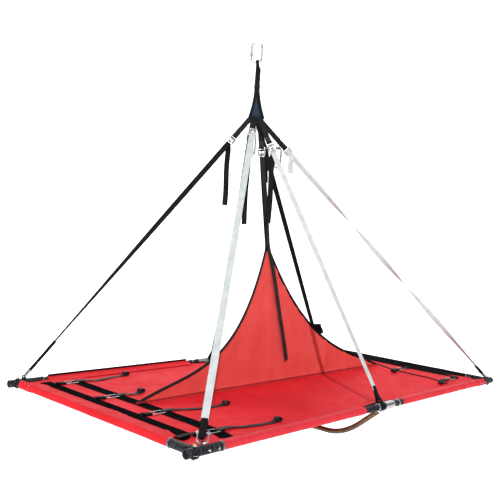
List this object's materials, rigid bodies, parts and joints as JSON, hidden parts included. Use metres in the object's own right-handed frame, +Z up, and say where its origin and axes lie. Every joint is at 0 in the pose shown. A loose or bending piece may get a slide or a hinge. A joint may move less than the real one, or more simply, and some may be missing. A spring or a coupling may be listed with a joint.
{
  "type": "suspended platform stretcher",
  "caption": "Plug-together tube frame with a fabric bed and centre divider, hung on adjustable webbing legs from one locking carabiner.",
  "frame": {"origin": "under the centre of the bed, at the height of the spreader bar's lowest point", "axes": "+X along the long side rails, -Y towards the front long side, +Z up towards the hanging point"},
  "size_m": [2.18, 1.154, 1.7926],
  "materials": {
    "black_anodised": "black anodised sleeves with a faint blue sheen, worn along their edges",
    "rail_aluminium": "drawn aluminium tube, mostly hidden inside the fabric sleeves",
    "polished_steel": "polished stainless steel",
    "bronze_anodised": "olive bronze anodised tube, satin",
    "red_fabric": "red coated packcloth with a fine plain weave, sewn sleeves and black binding",
    "white_webbing": "white flat woven webbing",
    "black_webbing": "black flat woven webbing and cord"
  },
  "bodies": {
    "root": {"bed": "red_fabric", "buckle_frame_divider": "polished_steel", "buckle_frame_front_left": "polished_steel", "buckle_frame_front_mid": "polished_steel", "buckle_frame_front_right": "polished_steel", "buckle_frame_rear_left": "polished_steel", "buckle_frame_rear_mid": "polished_steel", "buckle_frame_rear_right": "polished_steel", "cord_loop_left": "black_webbing", "cord_loop_right": "black_webbing", "corner_fitting_front_left": "black_anodised", "corner_fitting_front_right": "black_anodised", "corner_fitting_rear_left": "black_anodised", "corner_fitting_rear_right": "black_anodised", "divider": "red_fabric", "divider_strap": "black_webbing", "end_rail_left": "rail_aluminium", "end_rail_right": "rail_aluminium", "leg_strap_front_left": "white_webbing", "leg_strap_front_mid": "white_webbing", "leg_strap_front_right": "white_webbing", "leg_strap_rear_left": "black_webbing", "leg_strap_rear_mid": "black_webbing", "leg_strap_rear_right": "black_webbing", "main_sling": "black_webbing", "mid_coupling_front": "black_anodised", "mid_coupling_rear": "black_anodised", "shackle_front_left": "polished_steel", "shackle_front_right": "polished_steel", "shackle_rear_left": "polished_steel", "shackle_rear_right": "polished_steel", "side_rail_front_left": "rail_aluminium", "side_rail_front_right": "rail_aluminium", "side_rail_rear_left": "rail_aluminium", "side_rail_rear_right": "rail_aluminium", "spreader_bar": "bronze_anodised", "spreader_socket_front": "polished_steel", "spreader_socket_rear": "polished_steel"},
    "main_carabiner": {"main_carabiner_body": "polished_steel"},
    "main_gate": {"main_carabiner_gate": "polished_steel"},
    "main_lock_sleeve": {"main_carabiner_lock_sleeve": "polished_steel"},
    "accessory_carabiner_left": {"accessory_carabiner_left_body": "polished_steel"},
    "accessory_gate_left": {"accessory_carabiner_left_gate": "polished_steel"},
    "accessory_carabiner_right": {"accessory_carabiner_right_body": "polished_steel"},
    "accessory_gate_right": {"accessory_carabiner_right_gate": "polished_steel"},
    "cam_lever_front_left": {"cam_lever_front_left": "polished_steel"},
    "cam_lever_front_right": {"cam_lever_front_right": "polished_steel"},
    "cam_lever_rear_left": {"cam_lever_rear_left": "polished_steel"},
    "cam_lever_rear_right": {"cam_lever_rear_right": "polished_steel"},
    "cam_lever_front_mid": {"cam_lever_front_mid": "polished_steel"},
    "cam_lever_rear_mid": {"cam_lever_rear_mid": "polished_steel"},
    "cam_lever_divider": {"cam_lever_divider": "polished_steel"},
    "tension_ring_left_1": {"tension_ring_left_1": "polished_steel"},
    "tension_ring_left_2": {"tension_ring_left_2": "polished_steel"},
    "tension_ring_left_3": {"tension_ring_left_3": "polished_steel"},
    "tension_ring_left_4": {"tension_ring_left_4": "polished_steel"},
    "tension_ring_right_1": {"tension_ring_right_1": "polished_steel"},
    "tension_ring_right_2": {"tension_ring_right_2": "polished_steel"},
    "tension_ring_right_3": {"tension_ring_right_3": "polished_steel"},
    "tension_ring_right_4": {"tension_ring_right_4": "polished_steel"}
  },
  "joints": [
    {"name": "main_carabiner_swing", "type": "hinge", "parent": "root", "child": "main_carabiner", "pos_m": [-0.14757, 0.1481, 1.6985], "axis": [0.6858, -0.7278, 0], "range_deg": [-60, 60]},
    {"name": "main_gate_open", "type": "hinge", "parent": "main_carabiner", "child": "main_gate", "pos_m": [-0.16403, 0.16556, 1.76], "axis": [-0.7278, -0.6858, 0], "range_deg": [0, 25]},
    {"name": "main_lock_slide", "type": "slide", "parent": "main_gate", "child": "main_lock_sleeve", "axis": [0, 0, -1], "range_m": [0, 0.009]},
    {"name": "accessory_carabiner_left_swing", "type": "hinge", "parent": "root", "child": "accessory_carabiner_left", "pos_m": [-0.17203, 0.11285, 1.35276], "axis": [0.9839, 0.1788, 0], "range_deg": [-15, 15]},
    {"name": "accessory_gate_left_open", "type": "hinge", "parent": "accessory_carabiner_left", "child": "accessory_gate_left", "pos_m": [-0.19417, 0.10883, 1.32276], "axis": [0.1788, -0.9839, 0], "range_deg": [0, 25]},
    {"name": "accessory_carabiner_right_swing", "type": "hinge", "parent": "root", "child": "accessory_carabiner_right", "pos_m": [-0.03167, 0.07438, 1.30549], "axis": [0.9997, 0.0227, 0], "range_deg": [-15, 15]},
    {"name": "accessory_gate_right_open", "type": "hinge", "parent": "accessory_carabiner_right", "child": "accessory_gate_right", "pos_m": [-0.05416, 0.07387, 1.27549], "axis": [0.0227, -0.9997, 0], "range_deg": [0, 25]},
    {"name": "cam_lever_front_left_open", "type": "hinge", "parent": "root", "child": "cam_lever_front_left", "pos_m": [-0.21374, 0.07819, 1.36743], "axis": [-0.6837, 0.7256, 0.0776], "range_deg": [0, 60]},
    {"name": "cam_lever_front_right_open", "type": "hinge", "parent": "root", "child": "cam_lever_front_right", "pos_m": [0.01851, 0.05702, 1.29378], "axis": [0.4724, -0.5013, 0.7249], "range_deg": [0, 60]},
    {"name": "cam_lever_rear_left_open", "type": "hinge", "parent": "root", "child": "cam_lever_rear_left", "pos_m": [-0.24513, 0.17774, 1.32286], "axis": [-0.5538, 0.5876, 0.5899], "range_deg": [0, 60]},
    {"name": "cam_lever_rear_right_open", "type": "hinge", "parent": "root", "child": "cam_lever_rear_right", "pos_m": [0.01102, 0.1996, 1.30607], "axis": [0.638, -0.677, 0.3669], "range_deg": [0, 60]},
    {"name": "cam_lever_front_mid_open", "type": "hinge", "parent": "root", "child": "cam_lever_front_mid", "pos_m": [-0.12676, 0.03791, 1.30149], "axis": [-0.6184, 0.6562, -0.4324], "range_deg": [0, 60]},
    {"name": "cam_lever_rear_mid_open", "type": "hinge", "parent": "root", "child": "cam_lever_rear_mid", "pos_m": [-0.10794, 0.19257, 1.35326], "axis": [0.6805, -0.7221, -0.1246], "range_deg": [0, 60]},
    {"name": "cam_lever_divider_open", "type": "hinge", "parent": "root", "child": "cam_lever_divider", "pos_m": [-0.12079, 0.09858, 1.27588], "axis": [-0.6803, 0.722, -0.1261], "range_deg": [0, 60]},
    {"name": "tension_ring_left_1_tilt", "type": "hinge", "parent": "root", "child": "tension_ring_left_1", "pos_m": [-0.895, -0.44, 0.1963], "axis": [0, -1, 0], "range_deg": [0, 30]},
    {"name": "tension_ring_left_2_tilt", "type": "hinge", "parent": "root", "child": "tension_ring_left_2", "pos_m": [-0.895, -0.145, 0.1963], "axis": [0, -1, 0], "range_deg": [0, 30]},
    {"name": "tension_ring_left_3_tilt", "type": "hinge", "parent": "root", "child": "tension_ring_left_3", "pos_m": [-0.895, 0.145, 0.1963], "axis": [0, -1, 0], "range_deg": [0, 30]},
    {"name": "tension_ring_left_4_tilt", "type": "hinge", "parent": "root", "child": "tension_ring_left_4", "pos_m": [-0.895, 0.44, 0.1963], "axis": [0, -1, 0], "range_deg": [0, 30]},
    {"name": "tension_ring_right_1_tilt", "type": "hinge", "parent": "root", "child": "tension_ring_right_1", "pos_m": [0.895, -0.44, 0.1963], "axis": [0, 1, 0], "range_deg": [0, 30]},
    {"name": "tension_ring_right_2_tilt", "type": "hinge", "parent": "root", "child": "tension_ring_right_2", "pos_m": [0.895, -0.145, 0.1963], "axis": [0, 1, 0], "range_deg": [0, 30]},
    {"name": "tension_ring_right_3_tilt", "type": "hinge", "parent": "root", "child": "tension_ring_right_3", "pos_m": [0.895, 0.145, 0.1963], "axis": [0, 1, 0], "range_deg": [0, 30]},
    {"name": "tension_ring_right_4_tilt", "type": "hinge", "parent": "root", "child": "tension_ring_right_4", "pos_m": [0.895, 0.44, 0.1963], "axis": [0, 1, 0], "range_deg": [0, 30]}
  ]
}
